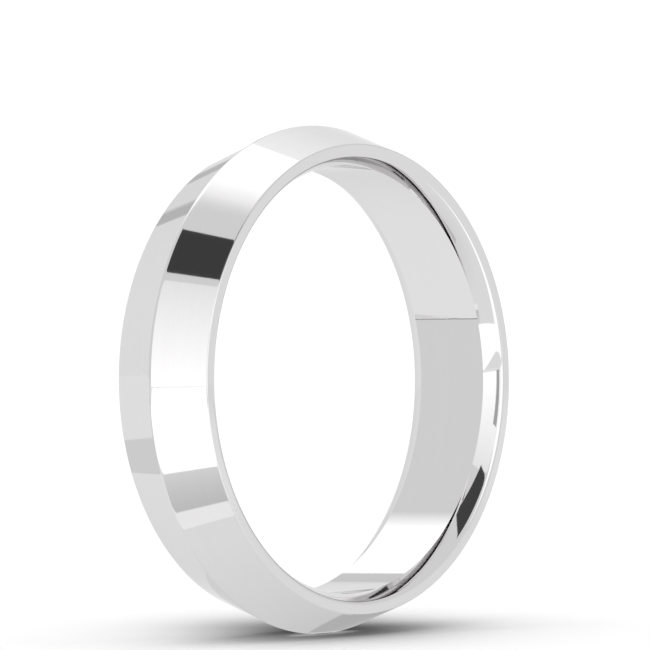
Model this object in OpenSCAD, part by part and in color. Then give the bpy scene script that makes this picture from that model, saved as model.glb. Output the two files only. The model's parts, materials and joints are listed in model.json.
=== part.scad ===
// Knife-edge wedding band: two flat bevels that meet in a softened ridge, narrow flat side
// faces and rounded inner margins. The band is a strip bent round and closed with solder, so
// it is two solids that meet face to face: the strip, and the thin wafer of solder in its seam.
// The finger axis is Y, the band stands upright on its ridge, and the origin is the bore's centre.

/* [Band] */
// Inside diameter of the finger bore
bore_d = 18.5; // [14:0.05:23]
// Thickness of the metal under the ridge
ridge_thickness = 1.75; // [1.65:0.05:2.2]
// Width along the finger, from side face to side face
band_w = 5; // [4:0.1:7]

/* [Bevels] */
// How far each bevel falls from the ridge to the side face
bevel_drop = 0.84; // [0.7:0.01:0.9]
// Radius that softens the ridge
ridge_r = 0.3; // [0.2:0.05:1]
// Radius that breaks the corner between a bevel and its side face
corner_r = 0.07; // [0.04:0.01:0.1]

/* [Inner margins] */
// Length of each rounded margin, measured along the finger
margin_len = 0.74; // [0.6:0.02:1]
// How far each margin opens outwards, from the bore to the side face
margin_rise = 0.42; // [0.3:0.01:0.45]
// How far each margin bulges from the straight line between its ends
margin_bulge = 0.03; // [0.02:0.01:0.06]
// Radius that rounds the lip, where a margin meets its side face
lip_r = 0.25; // [0.05:0.05:0.3]

/* [Seam] */
// Thickness of the solder in the seam
seam_t = 0.1; // [0.06:0.02:0.2]
// Place of the seam round the finger, from +X towards +Z
seam_at = 14; // [5:1:175]

/* [Hidden] */

$fn = 120;
gold = "#d9dadc";
solder = "#c9c7c3";

bore_r = bore_d / 2;
ridge_top_r = bore_r + ridge_thickness;
edge_r = ridge_top_r - bevel_drop;
half_w = band_w / 2;
// Clearance that a cutting shape keeps outside the metal
spare = 0.4;

// The bevels are tangent to the ridge's arc. Their slope is set so that the arc's crown is at
// the full height and each bevel reaches the side face exactly bevel_drop below it.
function slope_gap(a) = ridge_top_r - edge_r - half_w * tan(a) - ridge_r + ridge_r / cos(a);
function find_slope(low, high, steps) =
    steps == 0 ? (low + high) / 2
    : slope_gap((low + high) / 2) > 0 ? find_slope((low + high) / 2, high, steps - 1)
    : find_slope(low, (low + high) / 2, steps - 1);
bevel_angle = find_slope(5, 40, 40);

ridge_centre = [ridge_top_r - ridge_r, 0];
apex = [ridge_centre.x + ridge_r / cos(bevel_angle), 0];
edge = [edge_r, half_w];
lip = [bore_r + margin_rise, half_w];
crease = [bore_r, half_w - margin_len];

// Circle through the margin's two ends, with its centre in the metal
chord = lip - crease;
chord_len = norm(chord);
margin_r = (chord_len * chord_len / 4 + margin_bulge * margin_bulge) / (2 * margin_bulge);
into_metal = [chord.y, -chord.x] / chord_len;
margin_centre = (crease + lip) / 2 + into_metal * (margin_r - margin_bulge);

function unit(v) = v / norm(v);
function mirrored(p) = [p.x, -p.y];

// What rounding a corner takes away: the corner at p, with its two edges running off towards
// along_a and along_b, outside the circle of radius r that touches both edges.
module corner_waste(p, along_a, along_b, r) {
    a = unit(along_a - p);
    b = unit(along_b - p);
    half_angle = acos(a * b) / 2;
    reach = r / tan(half_angle);
    centre = p + unit(a + b) * r / sin(half_angle);
    difference() {
        polygon([p + a * reach, p + (p - centre), p + b * reach]);
        translate(centre) circle(r);
    }
}

// What the rounded margin takes off the square inner corner
module margin_waste() {
    difference() {
        polygon([
            crease,
            [bore_r - spare, crease.y],
            [bore_r - spare, half_w + spare],
            [lip.x, half_w + spare],
            lip
        ]);
        translate(margin_centre) circle(margin_r);
    }
}

// What rounding the lip, where the margin's arc meets the side face, takes away
module lip_waste() {
    below_face = half_w - lip_r - margin_centre.y;
    inset = margin_r - lip_r;
    centre = [margin_centre.x - sqrt(inset * inset - below_face * below_face), half_w - lip_r];
    touch_face = [centre.x, half_w];
    touch_margin = margin_centre + unit(centre - margin_centre) * margin_r;
    difference() {
        polygon([touch_face, lip + (lip - centre), touch_margin]);
        translate(centre) circle(lip_r);
    }
}

// What is cut from one side of the square outline, on the +Y side of the profile
module side_waste() {
    margin_waste();
    lip_waste();
    corner_waste(edge, apex, lip, corner_r);
}

// Cross-section of the metal, with the radius along X and the finger along Y
module profile() {
    difference() {
        polygon([
            [bore_r, -half_w],
            mirrored(edge),
            apex,
            edge,
            [bore_r, half_w]
        ]);
        corner_waste(apex, edge, mirrored(edge), ridge_r);
        side_waste();
        mirror([0, 1]) side_waste();
    }
}

// The whole ring of metal, with the finger's axis laid along Y
module ring() {
    rotate([90, 0, 0]) rotate_extrude() profile();
}

// Parallel-sided slot across the metal at the seam
module seam_gap() {
    rotate([0, -seam_at, 0])
        translate([bore_r - spare, -half_w - spare, -seam_t / 2])
            cube([ridge_thickness + 2 * spare, band_w + 2 * spare, seam_t]);
}

module band() {
    color(gold) difference() {
        ring();
        seam_gap();
    }
}

module solder_seam() {
    color(solder) intersection() {
        ring();
        seam_gap();
    }
}

band();
solder_seam();
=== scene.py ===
# %% [markdown]
# # A knife-edge wedding band in white gold
# A knife-edge band has two flat bevels that meet in a ridge round the middle of its outside.
# The goldsmith bends a strip round a mandrel, closes it with solder and files the bevels, then
# rounds the inner corners so that the band slides over the knuckle, and polishes everything.
# So it is two pieces of metal: the strip, and a thin wafer of solder in the seam.
# This lesson draws the band's cross-section once, sweeps it round the finger with Geometry
# Nodes, gives it a worked metal surface, and lights it with cards as a jeweller's bench would.

import json
import math

import bpy
from mathutils import Matrix, Vector


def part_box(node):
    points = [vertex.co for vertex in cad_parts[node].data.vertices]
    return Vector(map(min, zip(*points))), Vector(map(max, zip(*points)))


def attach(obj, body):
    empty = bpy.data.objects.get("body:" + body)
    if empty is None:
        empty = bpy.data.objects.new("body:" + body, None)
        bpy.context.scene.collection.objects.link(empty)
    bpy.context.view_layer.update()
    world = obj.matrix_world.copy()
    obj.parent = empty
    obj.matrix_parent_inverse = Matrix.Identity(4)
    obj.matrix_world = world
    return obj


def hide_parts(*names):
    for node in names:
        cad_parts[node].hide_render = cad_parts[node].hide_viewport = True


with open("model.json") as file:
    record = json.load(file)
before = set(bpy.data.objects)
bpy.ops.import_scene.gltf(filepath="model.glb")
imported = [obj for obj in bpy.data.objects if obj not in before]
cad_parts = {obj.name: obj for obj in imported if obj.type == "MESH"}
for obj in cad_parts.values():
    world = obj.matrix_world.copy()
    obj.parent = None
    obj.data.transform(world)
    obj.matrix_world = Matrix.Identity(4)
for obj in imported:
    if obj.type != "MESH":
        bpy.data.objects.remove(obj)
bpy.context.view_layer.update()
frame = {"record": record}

# %% [markdown]
# ## Sizes
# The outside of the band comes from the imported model, and its bore from the mount that holds
# the finger. The small sizes of the cross-section, such as the bevels' drop, are the same
# values that the CAD source names, in metres here.

# %% Sizes of the band
MM = 0.001
strip_low, strip_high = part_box("band")
half_width = (strip_high.y - strip_low.y) / 2
mounts = {mount["name"]: mount for mount in frame["record"]["mounts"]}
bore_radius = mounts["finger_bore"]["dims"]["r_mm"] * MM
bore_length = mounts["finger_bore"]["dims"]["length_mm"] * MM
ridge_radius = bore_radius + 1.75 * MM
band_sizes = {
    "Ridge Radius": ridge_radius,
    "Bore Radius": bore_radius,
    "Half Width": half_width,
    "Bevel Drop": 0.84 * MM,
    "Ridge Round": 0.3 * MM,
    "Corner Round": 0.07 * MM,
    "Margin Length": half_width - bore_length / 2,
    "Margin Rise": 0.42 * MM,
    "Margin Bulge": 0.03 * MM,
    "Lip Round": 0.25 * MM,
    "Seam Angle": math.radians(14),
    "Seam Thickness": 0.1 * MM,
}
for name in ("Ridge Radius", "Bore Radius", "Half Width", "Margin Length"):
    print(name, "in mm:", round(band_sizes[name] / MM, 3))

# %% [markdown]
# ## Sums written as sums
# Geometry Nodes and materials both do arithmetic with Math nodes. Wrapping a socket in a small
# class lets a sum be written the way a maker would jot it down, and each operator adds its node.

# %% A figure and a bench
class Figure:
    """One number that flows through a node tree."""

    def __init__(self, bench, socket):
        self.bench = bench
        self.socket = socket

    def work(self, operation, *others):
        sockets = dict(enumerate((self, *others)))
        return self.bench.figure("ShaderNodeMath", {"operation": operation}, sockets)

    def __add__(self, other):
        return self.work("ADD", other)

    def __sub__(self, other):
        return self.work("SUBTRACT", other)

    def __mul__(self, other):
        return self.work("MULTIPLY", other)

    def __truediv__(self, other):
        return self.work("DIVIDE", other)

    def __pow__(self, other):
        return self.work("POWER", other)

    def __rsub__(self, other):
        return self.bench.start(other).work("SUBTRACT", self)

    def __rtruediv__(self, other):
        return self.bench.start(other).work("DIVIDE", self)

    def __neg__(self):
        return self * -1.0

    __radd__ = __add__
    __rmul__ = __mul__


class Bench:
    """A node tree being built: it makes nodes and hands back their outputs."""

    def __init__(self, tree):
        self.tree = tree

    def feed(self, socket, value):
        if isinstance(value, Figure):
            value = value.socket
        if isinstance(value, bpy.types.NodeSocket):
            self.tree.links.new(value, socket)
        else:
            socket.default_value = value

    def node(self, kind, settings=None, sockets=None):
        made = self.tree.nodes.new(kind)
        for name, value in (settings or {}).items():
            if name == "stops":
                self.lay_stops(made.color_ramp, value)
            else:
                setattr(made, name, value)
        for place, value in (sockets or {}).items():
            self.feed(made.inputs[place], value)
        return made

    def lay_stops(self, ramp, stops):
        while len(ramp.elements) < len(stops):
            ramp.elements.new(0.5)
        for element, (place, shade) in zip(ramp.elements, stops):
            element.position = place
            element.color = (shade, shade, shade, 1)

    def out(self, kind, settings=None, sockets=None, output=0):
        return self.node(kind, settings, sockets).outputs[output]

    def figure(self, kind, settings=None, sockets=None, output=0):
        return Figure(self, self.out(kind, settings, sockets, output))

    def start(self, number):
        return self.figure("ShaderNodeMath", {"operation": "ADD"}, {0: number, 1: 0.0})


# %% [markdown]
# ## The drawing of the cross-section
# The band is the same all the way round, so its shape follows a rule: one cross-section, swept
# round the finger. The tree takes the sizes as named inputs and works out the corners itself.
# Radius runs along X and the finger along Y, and only the +Y half is drawn, because the band
# is the same on both sides of its ridge.

# %% The tree and its inputs
sweep = bpy.data.node_groups.new("swept_band", "GeometryNodeTree")
for name in band_sizes:
    sweep.interface.new_socket(name, in_out="INPUT", socket_type="NodeSocketFloat")
for name in ("Steps Round", "Side Of Seam"):
    sweep.interface.new_socket(name, in_out="INPUT", socket_type="NodeSocketInt")
sweep.interface.new_socket("Metal", in_out="INPUT", socket_type="NodeSocketMaterial")
sweep.interface.new_socket("Geometry", in_out="OUTPUT", socket_type="NodeSocketGeometry")
bench = Bench(sweep)
entry = bench.node("NodeGroupInput")


def given(name):
    return Figure(bench, entry.outputs[name])


ridge = given("Ridge Radius")
bore = given("Bore Radius")
side = given("Half Width")
drop = given("Bevel Drop")
print("inputs of the tree:", [socket.name for socket in entry.outputs if socket.name])


# %% Plane geometry
def towards(start, direction, distance):
    return (start[0] + direction[0] * distance, start[1] + direction[1] * distance)


def between(start, end):
    return (end[0] - start[0], end[1] - start[1])


def length(arrow):
    return (arrow[0] * arrow[0] + arrow[1] * arrow[1]) ** 0.5


def unit(arrow):
    size = length(arrow)
    return (arrow[0] / size, arrow[1] / size)


def middle_of_arc(centre, start, end, radius):
    """The point of a circle halfway between two of its points."""
    to_start = unit(between(centre, start))
    to_end = unit(between(centre, end))
    return towards(centre, unit((to_start[0] + to_end[0], to_start[1] + to_end[1])), radius)


# %% [markdown]
# ### The bevel and the ridge
# The ridge is a small arc that both bevels touch. Its crown is at the full radius and each
# bevel meets the side face a set drop below it, which fixes the bevel's slope: with width w,
# drop d and ridge round r, w sin(a) + (r - d) cos(a) = r, and that has a closed answer.

# %% Corners of the bevel
ridge_round = given("Ridge Round")
shortfall = ridge_round - drop
reach = (side * side + shortfall * shortfall) ** 0.5
slope = (ridge_round / reach).work("ARCSINE") - shortfall.work("ARCTAN2", side)
rise, run = slope.work("SINE"), slope.work("COSINE")
crown = (ridge, 0.0)
ridge_centre = (ridge - ridge_round, 0.0)
ridge_touch = towards(ridge_centre, (run, rise), ridge_round)
ridge_middle = middle_of_arc(ridge_centre, ridge_touch, crown, ridge_round)

corner_round = given("Corner Round")
edge = (ridge - drop, side)
up_bevel = (rise, run * -1.0)
half_corner = (slope + math.pi / 2) * 0.5
corner_reach = corner_round / half_corner.work("TANGENT")
corner_depth = corner_round / half_corner.work("SINE")
inwards = unit((rise - 1.0, run * -1.0))
corner_centre = towards(edge, inwards, corner_depth)
bevel_end = towards(edge, up_bevel, corner_reach)
side_start = (edge[0] - corner_reach, side)
corner_middle = towards(corner_centre, inwards, corner_round * -1.0)

# %% [markdown]
# ### The inner margin and its lip
# Where the bore nears each side face it opens in a shallow curve, so the band feels soft on the
# finger. The curve is part of a large circle from the crease in the bore to the side face, and
# the lip is the small circle that touches both that curve and the side face.

# %% Corners of the margin
crease = (bore, side - given("Margin Length"))
lip_corner = (bore + given("Margin Rise"), side)
bulge = given("Margin Bulge")
chord = between(crease, lip_corner)
span = length(chord)
margin_round = (span * span * 0.25 + bulge * bulge) / (bulge * 2.0)
halfway = ((crease[0] + lip_corner[0]) * 0.5, (crease[1] + lip_corner[1]) * 0.5)
into_metal = (chord[1] / span, chord[0] / span * -1.0)
margin_centre = towards(halfway, into_metal, margin_round - bulge)

lip_round = given("Lip Round")
below_face = side - lip_round - margin_centre[1]
inset = margin_round - lip_round
lip_centre = (margin_centre[0] - (inset * inset - below_face * below_face) ** 0.5, side - lip_round)
lip_on_side = (lip_centre[0], side)
lip_on_margin = towards(margin_centre, unit(between(margin_centre, lip_centre)), margin_round)
margin_middle = middle_of_arc(margin_centre, crease, lip_on_margin, margin_round)
lip_middle = middle_of_arc(lip_centre, lip_on_margin, lip_on_side, lip_round)

# %% [markdown]
# ### Lines and arcs in order
# Each stretch of the outline is a short curve that stores its place in the order: 0 to 1 on the
# bore, 1 to 2 on the margin, and so on up to the crown. The flat stretches put their points
# closest together near their ends, so that the smooth shading of a round next door doesn't
# bleed across a flat and bend the reflections in it.

# %% Stretches of the outline
def spot(point):
    return bench.out("ShaderNodeCombineXYZ", None, {"X": point[0], "Y": point[1]})


def numbered(curve, order):
    """Stores each point's place, and drops the last point, which the next stretch has too."""
    factor = bench.figure("GeometryNodeSplineParameter")
    kept = bench.out(
        "GeometryNodeStoreNamedAttribute",
        {"data_type": "FLOAT", "domain": "POINT"},
        {"Geometry": curve, "Name": "place", "Value": factor + float(order)},
    )
    last = bench.out("GeometryNodeCurveEndpointSelection", None, {"Start Size": 0, "End Size": 1})
    return bench.out("GeometryNodeDeleteGeometry", {"domain": "POINT"}, {"Geometry": kept, "Selection": last})


def flat_stretch(order, start, end, steps):
    line = bench.out("GeometryNodeCurvePrimitiveLine", None, {"Start": spot(start), "End": spot(end)})
    points = bench.out("GeometryNodeResampleCurve", None, {"Curve": line, "Count": steps + 1})
    factor = bench.figure("GeometryNodeSplineParameter")
    eased = 0.5 - (factor * math.pi).work("COSINE") * 0.5
    eased_place = bench.node(
        "ShaderNodeMix",
        {"data_type": "VECTOR"},
        {"Factor": eased, 4: spot(start), 5: spot(end)},
    ).outputs[1]
    packed = bench.out("GeometryNodeSetPosition", None, {"Geometry": points, "Position": eased_place})
    return numbered(packed, order)


def round_stretch(order, start, middle, end, steps):
    ends = {"Start": spot(start), "Middle": spot(middle), "End": spot(end)}
    arc = bench.out("GeometryNodeCurveArc", {"mode": "POINTS"}, {"Resolution": steps + 1, **ends})
    return numbered(arc, order)


stretches = [
    flat_stretch(0, (bore, 0.0), crease, 9),
    round_stretch(1, crease, margin_middle, lip_on_margin, 11),
    round_stretch(2, lip_on_margin, lip_middle, lip_on_side, 7),
    flat_stretch(3, lip_on_side, side_start, 6),
    round_stretch(4, side_start, corner_middle, bevel_end, 5),
    flat_stretch(5, bevel_end, ridge_touch, 13),
    round_stretch(6, ridge_touch, ridge_middle, crown, 9),
]
stretch_count = len(stretches)
whole_ridge = bench.out(
    "GeometryNodeCurvePrimitiveLine",
    None,
    {"Start": spot(crown), "End": spot(ridge_centre)},
)
crown_point = numbered(whole_ridge, stretch_count)
print("stretches on each side of the crown:", stretch_count)


# %% The closed outline
def join(*geometries):
    node = bench.node("GeometryNodeJoinGeometry")
    for geometry in geometries:
        sweep.links.new(geometry, node.inputs[0])
    return node.outputs[0]


def stored(name, kind="FLOAT"):
    return bench.figure("GeometryNodeInputNamedAttribute", {"data_type": kind}, {"Name": name})


def store(geometry, name, value, kind="FLOAT"):
    settings = {"data_type": kind, "domain": "POINT"}
    sockets = {"Geometry": geometry, "Name": name, "Value": value}
    return bench.out("GeometryNodeStoreNamedAttribute", settings, sockets)


# The other half is the same outline turned over, without the two points on the middle plane
half = join(*stretches, crown_point)
point_place = bench.out("GeometryNodeInputPosition")
height_over_middle = bench.figure("ShaderNodeSeparateXYZ", None, {0: point_place}, 1)
off_middle = bench.out(
    "GeometryNodeDeleteGeometry",
    {"domain": "POINT"},
    {"Geometry": half, "Selection": (height_over_middle.work("LESS_THAN", 1e-8)).socket},
)
turned_over = bench.out("GeometryNodeTransform", None, {"Geometry": off_middle, "Scale": (1, -1, 1)})
full_turn = 2.0 * stretch_count
other_half = store(turned_over, "place", full_turn - stored("place"))
all_points = bench.out("GeometryNodeCurveToPoints", {"mode": "EVALUATED"}, {"Curve": join(half, other_half)})
one_line = bench.out("GeometryNodePointsToCurves", None, {"Points": all_points, "Weight": stored("place")})
outline = bench.out("GeometryNodeSetSplineCyclic", None, {"Geometry": one_line, "Cyclic": True})

# %% [markdown]
# ### Marks that travel with the outline
# Values stored on the outline stay with it through the sweep. "drawn" keeps each point's radius
# and place along the finger, "across" its distance round the outline, which the polishing lines
# follow, and "keen" marks the crease, the one corner that stays sharp.

# %% Stores the marks
tracked = store(outline, "drawn", bench.out("GeometryNodeInputPosition"), "FLOAT_VECTOR")
tracked = store(tracked, "across", bench.out("GeometryNodeSplineParameter", output=1))
from_crown = (stored("place") - float(stretch_count)).work("ABSOLUTE")
at_crease = from_crown.work("COMPARE", stretch_count - 1.0, 0.001)
profile = store(tracked, "keen", at_crease, "BOOLEAN")

# %% [markdown]
# ## The sweep
# The path is a straight row of steps, each storing how far round the finger it is. Every point
# is then set exactly: cosine and sine of its angle for the circle, and a small angle at the
# seam that grows towards the bore, so that the faces of the seam are parallel, as filed ones
# are. The strip runs the long way round from one face to the other, the solder the short way.

# %% Sweeps the outline round the finger
row = bench.out("GeometryNodeCurvePrimitiveLine", None, {"Start": (0, 0, 0), "End": (1, 0, 0)})
steps_round = given("Steps Round")
path = bench.out("GeometryNodeResampleCurve", None, {"Curve": row, "Count": steps_round})
path = store(path, "turn", bench.out("GeometryNodeSplineParameter"))
at_end = bench.out("GeometryNodeCurveEndpointSelection", None, {"Start Size": 1, "End Size": 1})
path = store(path, "at_seam", at_end, "BOOLEAN")
ways = {"Curve": path, "Profile Curve": profile, "Fill Caps": True}
swept = bench.out("GeometryNodeCurveToMesh", None, ways)

drawn = bench.out("GeometryNodeInputNamedAttribute", {"data_type": "FLOAT_VECTOR"}, {"Name": "drawn"})
drawn_parts = bench.node("ShaderNodeSeparateXYZ", None, {0: drawn})
radius = Figure(bench, drawn_parts.outputs["X"])
along_finger = Figure(bench, drawn_parts.outputs["Y"])
way = given("Side Of Seam")
seam_half = (given("Seam Thickness") / (radius * 2.0)).work("ARCSINE")
first = given("Seam Angle") + way * seam_half
whole_way = (way + 1.0) * math.pi - way * seam_half * 2.0
angle = first + stored("turn") * whole_way
place = bench.out(
    "ShaderNodeCombineXYZ",
    None,
    {"X": radius * angle.work("COSINE"), "Y": along_finger, "Z": radius * angle.work("SINE")},
)
outwards = bench.out("GeometryNodeFlipFaces", None, {"Mesh": swept})
bent = bench.out("GeometryNodeSetPosition", None, {"Geometry": outwards, "Position": place})


# %% Sharp edges and metal
def keep_sharp(mesh, name):
    marked = bench.out("GeometryNodeInputNamedAttribute", {"data_type": "BOOLEAN"}, {"Name": name})
    sockets = {"Geometry": mesh, "Selection": marked, "Shade Smooth": False}
    return bench.out("GeometryNodeSetShadeSmooth", {"domain": "EDGE"}, sockets)


smooth = bench.out("GeometryNodeSetShadeSmooth", {"domain": "FACE"}, {"Geometry": bent, "Shade Smooth": True})
crisp = keep_sharp(keep_sharp(smooth, "keen"), "at_seam")
real = bench.out("GeometryNodeRealizeInstances", None, {"Geometry": crisp})
finished = bench.out("GeometryNodeSetMaterial", None, {"Geometry": real, "Material": entry.outputs["Metal"]})
leave = bench.node("NodeGroupOutput", None, {"Geometry": finished})
print("nodes in the tree:", len(sweep.nodes))

# %% [markdown]
# ## Two pieces from one drawing
# The same tree makes both pieces, so they meet face to face with no gap and no overlap. Each
# result is turned into a plain mesh, its modifier goes, and the piece takes the place of its
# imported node.


# %% Makes a piece
def make_piece(name, metal, steps, way_round):
    maker = bpy.data.objects.new(name + "_maker", bpy.data.meshes.new(name + "_maker"))
    bpy.context.scene.collection.objects.link(maker)
    modifier = maker.modifiers.new("sweep", "NODES")
    modifier.node_group = sweep
    values = {**band_sizes, "Steps Round": steps, "Side Of Seam": way_round, "Metal": metal}
    for item in sweep.interface.items_tree:
        if item.item_type == "SOCKET" and item.in_out == "INPUT":
            modifier[item.identifier] = values[item.name]
    graph = bpy.context.evaluated_depsgraph_get()
    mesh = bpy.data.meshes.new_from_object(maker.evaluated_get(graph), depsgraph=graph)
    mesh.name = name
    bpy.data.objects.remove(maker)
    piece = bpy.data.objects.new(name + "_polished", mesh)
    bpy.context.scene.collection.objects.link(piece)
    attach(piece, "root")
    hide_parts(name)
    print(name, "faces:", len(mesh.polygons), "materials:", [m.name for m in mesh.materials if m])
    return piece


# %% [markdown]
# ## Polished white gold
# White gold is plated with rhodium and buffed to a mirror. Buffing runs round the finger, so
# what is left on the metal is long and thin: faint lines that follow the band. The noise is
# stretched the same way: it reads the direction round the finger, which comes back to itself
# after a full turn, and the distance across the outline. A grey tint on the shader's edge keeps
# the metal from flaring where it is seen at a low angle.


# %% Where a point is on the band
def new_metal(name):
    material = bpy.data.materials.new(name)
    material.use_nodes = True
    material.node_tree.nodes.clear()
    return material, Bench(material.node_tree)


def lay_of_lines(work):
    """Direction round the finger as X and Z, distance across the outline as a figure in mm."""
    spot_on_metal = work.out("ShaderNodeTexCoord", output=3)
    flat = work.out("ShaderNodeVectorMath", {"operation": "MULTIPLY"}, {0: spot_on_metal, 1: (1, 0, 1)})
    direction = work.out("ShaderNodeVectorMath", {"operation": "NORMALIZE"}, {0: flat})
    across = work.figure("ShaderNodeAttribute", {"attribute_name": "across"}, output=2) / MM
    return spot_on_metal, direction, across


def lines_round(work, direction, across, turns, per_mm, detail=2.0):
    """Noise in long lines: it changes slowly round the finger and quickly across the outline."""
    around = work.out("ShaderNodeVectorMath", {"operation": "SCALE"}, {0: direction, "Scale": turns})
    return work.figure(
        "ShaderNodeTexNoise",
        {"noise_dimensions": "4D", "normalize": True},
        {"Vector": around, "W": across * per_mm, "Scale": 1.0, "Detail": detail, "Roughness": 0.5},
    )


# %% White gold
white_gold, work = new_metal("white_gold_polish")
spot_on_metal, direction, across = lay_of_lines(work)
fine_lines = lines_round(work, direction, across, 3.0, 9.0)
broad_lines = lines_round(work, direction, across, 1.5, 2.5)
waves = work.figure("ShaderNodeTexNoise", None, {"Vector": spot_on_metal, "Scale": 260.0, "Detail": 1.0})
tone = work.out(
    "ShaderNodeMix",
    {"data_type": "RGBA"},
    {"Factor": fine_lines * 0.6 + broad_lines * 0.4, 6: (0.69, 0.678, 0.683, 1), 7: (0.73, 0.722, 0.727, 1)},
    output=2,
)
lift = fine_lines * 0.00006 + broad_lines * 0.0002 + waves * 0.0012
bumped = work.out("ShaderNodeBump", None, {"Strength": 1.0, "Distance": MM, "Height": lift})
gold_shader = work.out(
    "ShaderNodeBsdfPrincipled",
    None,
    {
        "Base Color": tone,
        "Metallic": 1.0,
        "Specular Tint": (0.82, 0.82, 0.82, 1),
        "Roughness": 0.03 + fine_lines * 0.025,
        "Normal": bumped,
    },
)
work.node("ShaderNodeOutputMaterial", None, {"Surface": gold_shader})

# %% [markdown]
# ## The solder in the seam
# Solder for white gold is a softer alloy. On the outside and the margins it is filed and plated
# with the rest, and the eye can't find it. Inside the bore it is drawn as a fine dark line, a
# little wavy and sunk a touch, which is painted reflection and shade: a table edge and its thin
# shadow mirrored there. Beside it lies a painted highlight, a bright lip on one face of the solder.
# The mark "place" tells the bore from the rest and "turn" runs across the solder's thickness.

# %% Gold solder
gold_solder, work = new_metal("gold_solder_polish")
spot_on_metal, direction, across = lay_of_lines(work)
fine_lines = lines_round(work, direction, across, 3.0, 9.0)
grain = work.figure("ShaderNodeTexNoise", None, {"Vector": spot_on_metal, "Scale": 2600.0, "Detail": 2.0})
outline_place = work.figure("ShaderNodeAttribute", {"attribute_name": "place"}, output=2)
thickness = work.figure("ShaderNodeAttribute", {"attribute_name": "turn"}, output=2)
in_bore = (outline_place - float(stretch_count)).work("ABSOLUTE").work("GREATER_THAN", stretch_count - 1.0)
line_middle = 0.05 + grain * 0.6
off_line = (thickness - line_middle).work("ABSOLUTE")
# painted reflection and shade: a dark line in the bore standing for a mirrored table edge and its thin
# shadow; it also sinks a small groove
seam_groove_and_painted_shade = (1.0 - off_line * 2.4).work("MAXIMUM", 0.0) * in_bore
# painted highlight: a bright lip along one face of the solder, inside the bore
painted_highlight_lip = (thickness * 5.0 - 4.0).work("MAXIMUM", 0.0) * in_bore
plain_tone = work.out(
    "ShaderNodeMix",
    {"data_type": "RGBA"},
    {"Factor": fine_lines, 6: (0.69, 0.678, 0.683, 1), 7: (0.73, 0.722, 0.727, 1)},
    output=2,
)
lined_tone = work.out(
    "ShaderNodeMix",
    {"data_type": "RGBA"},
    {"Factor": seam_groove_and_painted_shade, 6: plain_tone, 7: (0.24, 0.23, 0.23, 1)},
    output=2,
)
tone = work.out(
    "ShaderNodeMix",
    {"data_type": "RGBA"},
    {"Factor": painted_highlight_lip, 6: lined_tone, 7: (0.84, 0.83, 0.83, 1)},
    output=2,
)
sink = grain * 0.0004 - seam_groove_and_painted_shade * 0.004
bumped = work.out("ShaderNodeBump", None, {"Strength": 0.6, "Distance": MM, "Height": sink})
solder_shader = work.out(
    "ShaderNodeBsdfPrincipled",
    None,
    {
        "Base Color": tone,
        "Metallic": 1.0,
        "Specular Tint": (0.82, 0.82, 0.82, 1),
        "Roughness": 0.04 + seam_groove_and_painted_shade * 0.25,
        "Normal": bumped,
    },
)
work.node("ShaderNodeOutputMaterial", None, {"Surface": solder_shader})

# %% The strip and its solder
strip = make_piece("band", white_gold, 601, 1)
seam = make_piece("solder_seam", gold_solder, 7, -1)

# %% [markdown]
# ## A pale table and a white room
# The band stands on its ridge on a plain pale table, and it leans back on it by about two
# degrees. The band keeps its own upright frame here, so it is the table that is tilted to touch
# the ridge. The room is an even white, as inside a light tent, so the metal has something
# bright to mirror everywhere. Polished metal shows nothing of its own: what the eye reads as
# its shape is the picture of the room in it.

# %% The table
up_of_table = Vector((0.0092, -0.038, 1)).normalized()
ridge_arc = band_sizes["Ridge Round"]
drop_to_table = (ridge_radius - ridge_arc) * math.hypot(up_of_table.x, up_of_table.z) + ridge_arc
tilt = Vector((0, 0, 1)).rotation_difference(up_of_table).to_matrix().to_4x4()
on_table = Matrix.Translation((0, 0, -drop_to_table / up_of_table.z)) @ tilt
reach_of_table = 1.5
table_corners = [(-1, -1), (1, -1), (1, 1), (-1, 1)]
table_points = [on_table @ Vector((x * reach_of_table, y * reach_of_table, 0)) for x, y in table_corners]
table_mesh = bpy.data.meshes.new("table")
table_mesh.from_pydata(table_points, [], [(0, 1, 2, 3)])
table = bpy.data.objects.new("table", table_mesh)
bpy.context.scene.collection.objects.link(table)
pale = bpy.data.materials.new("pale_table")
pale.use_nodes = True
pale_shader = pale.node_tree.nodes["Principled BSDF"]
pale_shader.inputs["Base Color"].default_value = (0.8, 0.8, 0.8, 1)
pale_shader.inputs["Roughness"].default_value = 0.9
pale_shader.inputs["Specular IOR Level"].default_value = 0.0
table_mesh.materials.append(pale)
print("lean on the table in degrees:", round(math.degrees(up_of_table.angle(Vector((0, 0, 1)))), 2))

# %% The room
room = bpy.data.worlds.new("white_room")
bpy.context.scene.world = room
room.use_nodes = True
room_bench = Bench(room.node_tree)
seen = room_bench.figure("ShaderNodeLightPath")
brightness = 0.87 + seen * 0.2
room_bench.feed(room.node_tree.nodes["Background"].inputs["Color"], (1, 1, 1, 1))
room_bench.feed(room.node_tree.nodes["Background"].inputs["Strength"], brightness)

overhead = bpy.data.lights.new("overhead_softbox", "SUN")
overhead.angle = math.radians(80)
overhead.energy = 1.4
lamp = bpy.data.objects.new("overhead_softbox", overhead)
lamp.visible_glossy = False
bpy.context.scene.collection.objects.link(lamp)

# %% [markdown]
# ## Cards for the metal to mirror
# A jeweller's photographer stands white, grey and black cards round the ring and looks at them
# in the metal. Each card here glows with its own brightness and is seen only in reflections.
# A standing card is placed by the direction in which it stands, seen from the band: an azimuth
# round the table from +X towards +Y, and a height above it, with its half sizes as angles too.
# Some cards fade out near their edges, as cloth over a lamp does, and the rest have crisp ones.


# %% How a card glows
def from_middle(card_bench, axis):
    place_on_card = card_bench.out("ShaderNodeTexCoord", output=3)
    return card_bench.figure("ShaderNodeSeparateXYZ", None, {0: place_on_card}, axis)


def graded(low_end, high_end):
    """Brightness that runs evenly from the bottom of the card to its top."""

    def glow(card_bench):
        return low_end + (from_middle(card_bench, 1) * 0.5 + 0.5) * (high_end - low_end)

    return glow


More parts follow.
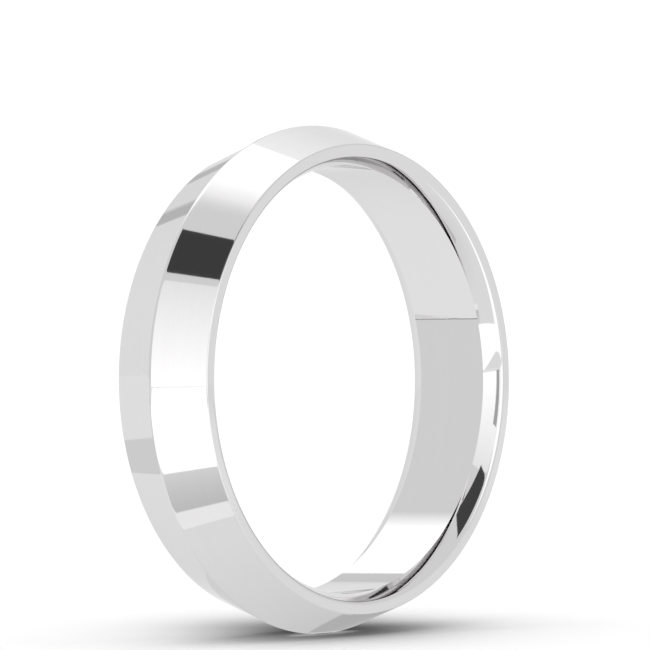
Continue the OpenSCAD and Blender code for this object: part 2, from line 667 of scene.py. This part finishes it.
def pooled(middle, edge, reach):
    """Brightness that runs from the card's middle outwards, and stays even beyond the reach."""

    def glow(card_bench):
        x, y = from_middle(card_bench, 0), from_middle(card_bench, 1)
        outwards = (x * x + y * y) ** 0.5 / reach
        return middle + outwards.work("MINIMUM", 1.0) * (edge - middle)

    return glow


def card_metal(name, glow, fade):
    """fade is how far the card thins out from its right, left, bottom and top edges, as a share."""
    material = bpy.data.materials.new(name)
    material.use_nodes = True
    material.node_tree.nodes.clear()
    card_bench = Bench(material.node_tree)
    shader = card_bench.out("ShaderNodeEmission", None, {"Color": glow(card_bench), "Strength": 1.0})
    if fade:
        cover = 1.0
        for share, (axis, way) in zip(fade, ((0, 1.0), (0, -1.0), (1, 1.0), (1, -1.0))):
            if share:
                side_cover = (from_middle(card_bench, axis) * way + 1.0) / share
                cover = side_cover.work("MINIMUM", 1.0) * cover
        nothing = card_bench.out("ShaderNodeBsdfTransparent")
        shader = card_bench.out("ShaderNodeMixShader", None, {0: cover, 1: nothing, 2: shader})
    card_bench.node("ShaderNodeOutputMaterial", None, {"Surface": shader})
    return material


# %% A card
def square(name):
    mesh = bpy.data.meshes.new(name)
    mesh.from_pydata([(-1, -1, 0), (1, -1, 0), (1, 1, 0), (-1, 1, 0)], [], [(0, 1, 2, 3)])
    return mesh


def place_card(name, matrix, glow, fade=None):
    mesh = square(name)
    mesh.materials.append(card_metal(name, glow, fade))
    card = bpy.data.objects.new(name, mesh)
    card.matrix_world = matrix
    bpy.context.scene.collection.objects.link(card)
    for seen_by in ("visible_camera", "visible_diffuse", "visible_shadow", "visible_transmission"):
        setattr(card, seen_by, False)
    return card


def standing_card(name, azimuth, height, half_wide, half_tall, low_end, high_end, away=0.9, fade=None):
    """A card that faces the band. Angles are in degrees, and the two ends are its brightness."""
    across_angle, up_angle = math.radians(azimuth), math.radians(height)
    outwards = Vector((
        math.cos(across_angle) * math.cos(up_angle),
        math.sin(across_angle) * math.cos(up_angle),
        math.sin(up_angle),
    ))
    turn = outwards.to_track_quat("Z", "Y").to_matrix().to_4x4()
    size = Matrix.Diagonal((
        away * math.tan(math.radians(half_wide)),
        away * math.tan(math.radians(half_tall)),
        1,
        1,
    ))
    stand = Matrix.Translation(outwards * away) @ turn @ size
    return place_card(name, stand, graded(low_end, high_end), fade)


def lying_card(name, start, azimuth, reach, half_wide, near_end, far_end, lift):
    """A card on the table that runs from a start towards an azimuth. Lengths are in mm."""
    turn = Matrix.Rotation(math.radians(azimuth - 90), 4, "Z")
    begin = Matrix.Translation((start[0] * MM, start[1] * MM, lift * MM))
    middle = Matrix.Translation((0, reach / 2 * MM, 0))
    size = Matrix.Diagonal((half_wide * MM, reach / 2 * MM, 1, 1))
    return place_card(name, on_table @ begin @ turn @ middle @ size, graded(near_end, far_end))


# %% The cards that stand
standing_card("back_wall", 73, 8, 35, 20, 1.0, 1.04, away=1.0)
standing_card("top_softbox", 72, 56, 19, 29, 1.5, 1.6, fade=(0, 0.5, 0.35, 0.4))
standing_card("right_strip", 34, 31, 10, 32, 1.03, 1.28, away=1.0, fade=(0.1, 0.1, 0.1, 0.1))
standing_card("side_wall", 320, 6, 12, 8, 0.98, 0.98, away=0.29)
standing_card("small_reflector", 42.5, 3, 4, 4, 1.4, 1.4, away=0.8)
standing_card("near_grey_flag", 52, 14, 3, 3, 0.7, 0.7, away=0.8, fade=(0.2, 0.6, 0.3, 0.3))
standing_card("far_grey_flag", 68, 23, 3, 2.5, 0.68, 0.68, away=0.8, fade=(0.6, 0.1, 0.3, 0.3))
standing_card("dark_flag", 168, 55.3, 9, 9.2, 0.06, 0.06, away=0.7)
standing_card("dark_flag_low", 219, 59, 13, 15, 0.07, 0.07, away=0.7)
standing_card("left_softbox", 195, 22, 32, 23, 1.5, 1.08, away=0.95)
standing_card("camera_side_card", 212, 9.5, 5, 13, 0.5, 0.5, away=0.7)
standing_card("front_softbox", 261, 5, 27, 24, 1.45, 1.45)
standing_card("horizon_grey", 140, 0, 12, 5, 0.87, 0.87, away=0.29)

# %% [markdown]
# ### Cards on the table
# A sheet of even white card lies round the band for the metal to mirror, a little greyer close
# in, which is painted shade; the card also hides the table's own shade from the metal. Over it lie
# the reflectors that throw white into the foot of the band, and the grey cards that draw the dark
# lines there. The darkest of them, at the band's contact, is a painted shadow for the metal to mirror.

# %% The cards that lie
paper_size = Matrix.Diagonal((0.3, 0.3, 1, 1))
paper_place = on_table @ Matrix.Translation((0, 0, 0.02 * MM)) @ paper_size
# painted shade: the paper glows greyer towards the band, standing in for shade near its foot
place_card("paper_round_band", paper_place, pooled(0.86, 0.98, 10 * MM / 0.3))
lying_card("back_paper", (0, 6), 90, 290, 150, 1.05, 1.05, 0.04)
lying_card("left_reflector", (-20.5, 0), 180, 900, 36, 1.5, 1.5, 0.05)
lying_card("near_grey_card", (-14, 0), 180, 6.5, 5, 0.7, 0.9, 0.1)
lying_card("thin_bright_card", (-12, 0), 180, 1.9, 5, 1.13, 1.13, 0.1)
lying_card("front_reflector", (-20, -23), 270, 277, 38, 1.45, 1.45, 0.08)
lying_card("back_left_grey", (-11.4, 19.6), 138.5, 60, 9, 0.87, 0.87, 0.12)
lying_card("far_left_grey", (-55, 58), 138.5, 240, 28, 0.87, 0.87, 0.12)
# painted shadow: a dark card at the band's contact, seen only in the metal
lying_card("contact_shade_card", (-1, -0.8), 25, 12, 3.5, 0.66, 0.46, 0.1)

# %% [markdown]
# ### The shade under the band
# Under so wide a light a ring throws hardly any shadow and seems to float. A small round of
# black net held just over the table takes light away under the band: densest in the middle and
# thinning outwards like a bell curve. The net itself is seen neither by the camera nor in the
# metal, only the soft shade that it leaves on the table.

# %% The net over the table
net_mesh = square("shade_net")
net = bpy.data.objects.new("shade_net", net_mesh)
net_reach = 20 * MM
net_turn = Matrix.Rotation(math.radians(-49.84), 4, "Z")
net_middle = Matrix.Translation((1.6 * MM, 2.0 * MM, 0.25 * MM)) @ net_turn
net.matrix_world = on_table @ net_middle @ Matrix.Diagonal((net_reach, net_reach, 1, 1))
bpy.context.scene.collection.objects.link(net)
net.visible_camera = False
net.visible_glossy = False
net_metal = bpy.data.materials.new("black_net")
net_metal.use_nodes = True
net_metal.node_tree.nodes.clear()
net_bench = Bench(net_metal.node_tree)
sideways = from_middle(net_bench, 0) * (net_reach / (5.0 * MM))
backwards = from_middle(net_bench, 1) * (net_reach / (7.0 * MM))
spread = sideways * sideways + backwards * backwards
density = (-spread).work("EXPONENT") * 0.88
open_net = net_bench.out("ShaderNodeBsdfTransparent")
black_thread = net_bench.out("ShaderNodeBsdfDiffuse", None, {"Color": (0, 0, 0, 1)})
net_shader = net_bench.out("ShaderNodeMixShader", None, {0: density, 1: open_net, 2: black_thread})
net_bench.node("ShaderNodeOutputMaterial", None, {"Surface": net_shader})
net_mesh.materials.append(net_metal)
print("net reach in mm:", round(net_reach / MM, 1))

# %% [markdown]
# ## The camera
# The camera stands a little above the table and to the left of the band's side face, far
# away on a long lens, so the round of the band hardly narrows towards the back. It aims a
# little above the bore's middle, which leaves the white of the room over the band, and is
# rolled by two degrees so that the table looks level.

# %% Sets the camera
azimuth, height = math.radians(-49.84), math.radians(2.0)
distance = 45 * ridge_radius
back = Vector((
    math.sin(azimuth) * math.cos(height),
    -math.cos(azimuth) * math.cos(height),
    math.sin(height),
))
right = Vector((math.cos(azimuth), math.sin(azimuth), 0))
aim = right * 0.458 * MM + back.cross(right) * 2.35 * MM
lens = bpy.data.cameras.new("long_lens")
lens.sensor_width = 36
lens.lens = 633.3
lens.clip_start = 0.01
lens.clip_end = 10
camera = bpy.data.objects.new("camera", lens)
camera.location = back * distance
facing = (camera.location - aim).to_track_quat("Z", "Y")
lean = Matrix.Rotation(math.radians(-2.0), 4, "Z")
camera.matrix_world = Matrix.Translation(camera.location) @ facing.to_matrix().to_4x4() @ lean
bpy.context.scene.collection.objects.link(camera)
bpy.context.scene.camera = camera
bpy.context.scene.view_settings.view_transform = "Standard"
